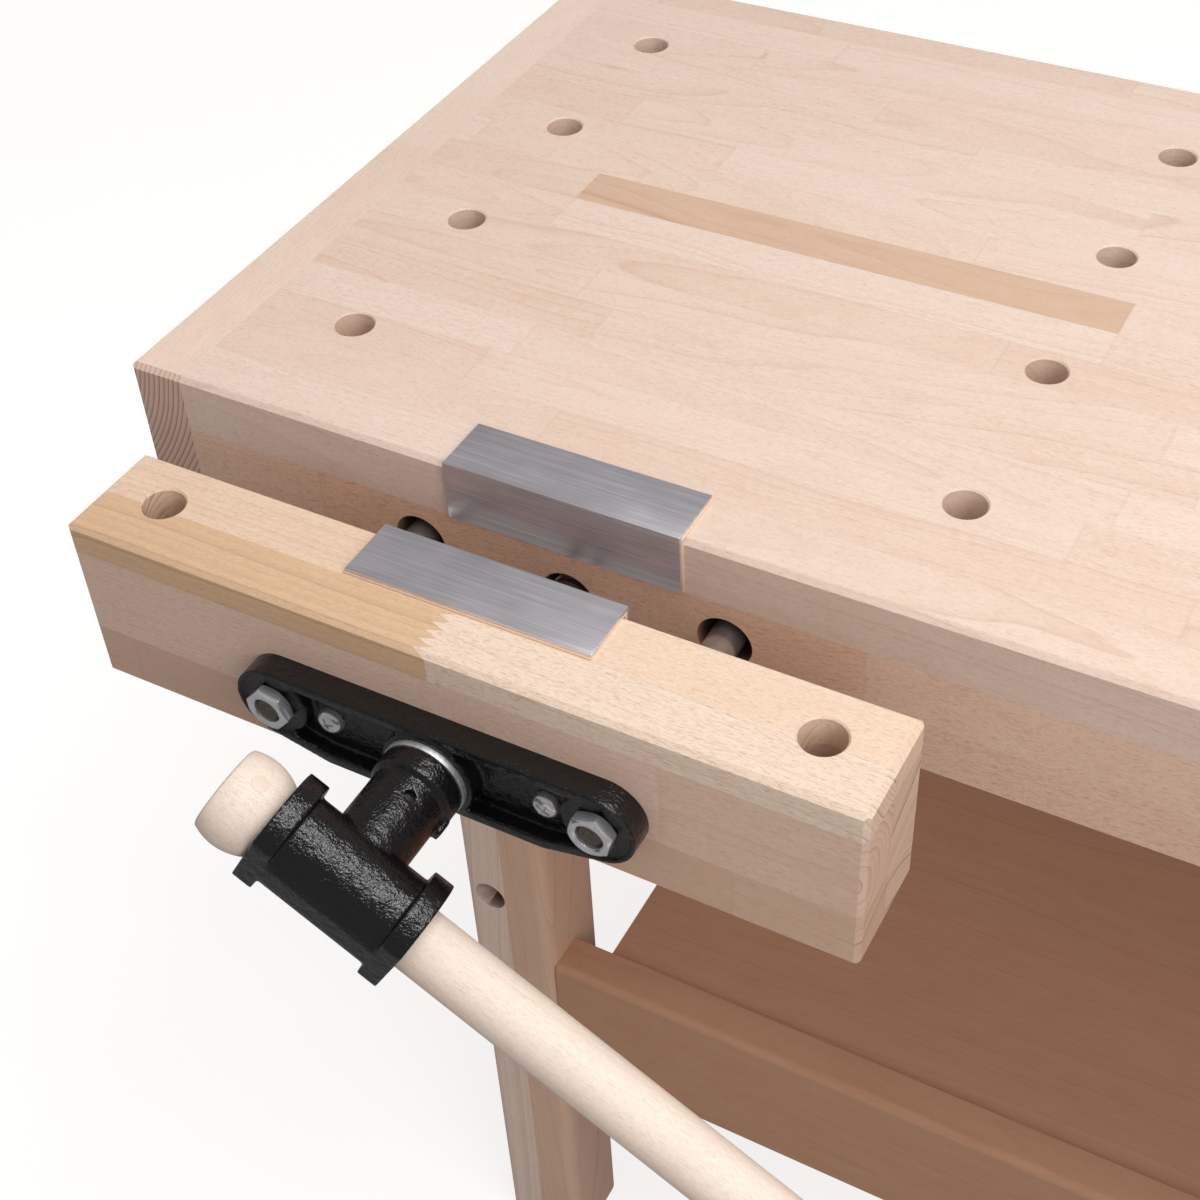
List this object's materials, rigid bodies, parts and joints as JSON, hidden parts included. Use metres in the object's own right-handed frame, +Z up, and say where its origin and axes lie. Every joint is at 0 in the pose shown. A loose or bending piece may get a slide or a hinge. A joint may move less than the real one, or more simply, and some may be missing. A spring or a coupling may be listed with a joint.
{
  "type": "woodworking bench",
  "caption": "Workbench with a thick laminated beech top, dog holes, a wide front vise and a tail vise with bar handles, loose jaw caps, and a trestle base with a shelf.",
  "frame": {"origin": "middle of the whole object's footprint, on the floor", "axes": "+X along the bench from the front vise's end to the tail vise, +Y from the front edge to the rear, +Z up"},
  "size_m": [1.7225, 0.8436, 0.9035],
  "materials": {
    "beech_top": "planed and oiled beech, laminated from finger-jointed staves",
    "beech_end": "planed and oiled beech with end grain at the front and rear",
    "beech_jaw": "planed and oiled beech, laminated",
    "beech_frame": "planed beech",
    "shelf_board": "brown veneered board",
    "beech_handle": "turned and sanded pale beech",
    "black_casting": "glossy black paint over a rough casting",
    "zinc": "zinc plated",
    "bright_steel": "ground steel",
    "bronze": "machined bronze",
    "aluminium": "extruded and brushed along its length",
    "lining": "thin tan lining"
  },
  "bodies": {
    "bench": {"top_board_front": "beech_top", "top_board_middle": "beech_top", "top_board_rear": "beech_top", "front_apron": "beech_top", "rear_apron": "beech_top", "left_end_cap": "beech_end", "right_end_cap": "beech_end", "end_cap_bolts": "zinc", "front_left_leg": "beech_frame", "front_right_leg": "beech_frame", "rear_left_leg": "beech_frame", "rear_right_leg": "beech_frame", "left_head_rail": "beech_frame", "right_head_rail": "beech_frame", "left_low_rail": "beech_frame", "right_low_rail": "beech_frame", "front_stretcher": "beech_frame", "rear_stretcher": "beech_frame", "stretcher_bolts": "zinc", "barrel_nuts": "zinc", "top_pegs": "beech_frame", "shelf": "shelf_board", "shelf_battens": "beech_frame", "nut_blocks": "black_casting", "nut_block_screws": "zinc", "lead_nuts": "bronze", "guide_bushes": "bronze"},
    "loose_bench_cap": {"bench_cap": "aluminium", "bench_cap_lining": "lining"},
    "loose_jaw_cap": {"jaw_cap": "aluminium", "jaw_cap_lining": "lining"},
    "front_slide": {"front_jaw": "beech_jaw", "front_bracket": "black_casting", "front_bracket_screws": "zinc", "front_guide_rods": "bright_steel", "front_rod_nuts": "zinc"},
    "front_screw": {"front_lead_screw": "bright_steel", "front_retaining_collar": "bright_steel", "front_thrust_washer": "zinc", "front_hub": "black_casting", "front_hub_pin": "bright_steel"},
    "front_handle": {"front_handle_bar": "beech_handle", "front_upper_knob": "beech_handle", "front_lower_knob": "beech_handle", "front_knob_pins": "beech_handle"},
    "tail_slide": {"tail_jaw": "beech_jaw", "tail_bracket": "black_casting", "tail_bracket_screws": "zinc", "tail_guide_rods": "bright_steel", "tail_rod_nuts": "zinc"},
    "tail_screw": {"tail_lead_screw": "bright_steel", "tail_retaining_collar": "bright_steel", "tail_thrust_washer": "zinc", "tail_hub": "black_casting", "tail_hub_pin": "bright_steel"},
    "tail_handle": {"tail_handle_bar": "beech_handle", "tail_upper_knob": "beech_handle", "tail_lower_knob": "beech_handle", "tail_knob_pins": "beech_handle"}
  },
  "joints": [
    {"name": "front_vise_slide", "type": "slide", "parent": "bench", "child": "front_slide", "axis": [0, -1, 0], "range_m": [-0.057, 0.08]},
    {"name": "front_screw_turn", "type": "hinge", "parent": "front_slide", "child": "front_screw", "pos_m": [-0.55725, -0.39575, 0.828], "axis": [0, -1, 0], "range_deg": [-4100, 5750]},
    {"name": "front_handle_slide", "type": "slide", "parent": "front_screw", "child": "front_handle", "axis": [-0.866, 0, 0.5], "range_m": [0, 0.2676]},
    {"name": "tail_vise_slide", "type": "slide", "parent": "bench", "child": "tail_slide", "axis": [1, 0, 0], "range_m": [-0.0295, 0.17]},
    {"name": "tail_screw_turn", "type": "hinge", "parent": "tail_slide", "child": "tail_screw", "pos_m": [0.83525, 0.12875, 0.828], "axis": [1, 0, 0], "range_deg": [-2120, 12230]},
    {"name": "tail_handle_slide", "type": "slide", "parent": "tail_screw", "child": "tail_handle", "axis": [0, -0.7071, 0.7071], "range_m": [0, 0.2676]},
    {"name": "bench_cap_lift", "type": "slide", "parent": "bench", "child": "loose_bench_cap", "axis": [0, 0, 1], "range_m": [0, 0.06]},
    {"name": "jaw_cap_lift", "type": "slide", "parent": "front_slide", "child": "loose_jaw_cap", "axis": [0, 0, 1], "range_m": [0, 0.06]}
  ],
  "couplings": [
    {"joint": "front_vise_slide", "follows": "front_screw_turn", "m_per_rad": 0.00079577},
    {"joint": "tail_vise_slide", "follows": "tail_screw_turn", "m_per_rad": 0.00079577}
  ]
}
